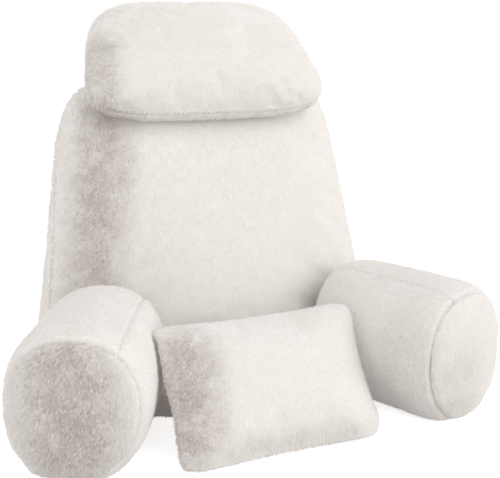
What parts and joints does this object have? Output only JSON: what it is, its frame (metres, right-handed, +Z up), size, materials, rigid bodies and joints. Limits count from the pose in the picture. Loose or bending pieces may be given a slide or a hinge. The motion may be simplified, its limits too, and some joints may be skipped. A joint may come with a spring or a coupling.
{
  "type": "reading pillow with arms",
  "caption": "Plush reading pillow with a leaning wedge backrest, splayed bolster arms, a neck pillow hung over the top and a small lumbar pillow between the arms.",
  "frame": {"origin": "middle of the footprint, on the floor", "axes": "+Z up, +X to the right of someone looking at its front, which faces -Y"},
  "size_m": [0.8534, 0.553, 0.6982],
  "materials": {
    "backrest_fur": "short faux-fur pile",
    "arm_fur": "short faux-fur pile",
    "pillow_fur": "short faux-fur pile"
  },
  "bodies": {
    "root": {"backrest": "backrest_fur", "arm_left": "arm_fur", "arm_right": "arm_fur", "neck_pillow": "pillow_fur", "lumbar_pillow": "pillow_fur"}
  },
  "joints": []
}
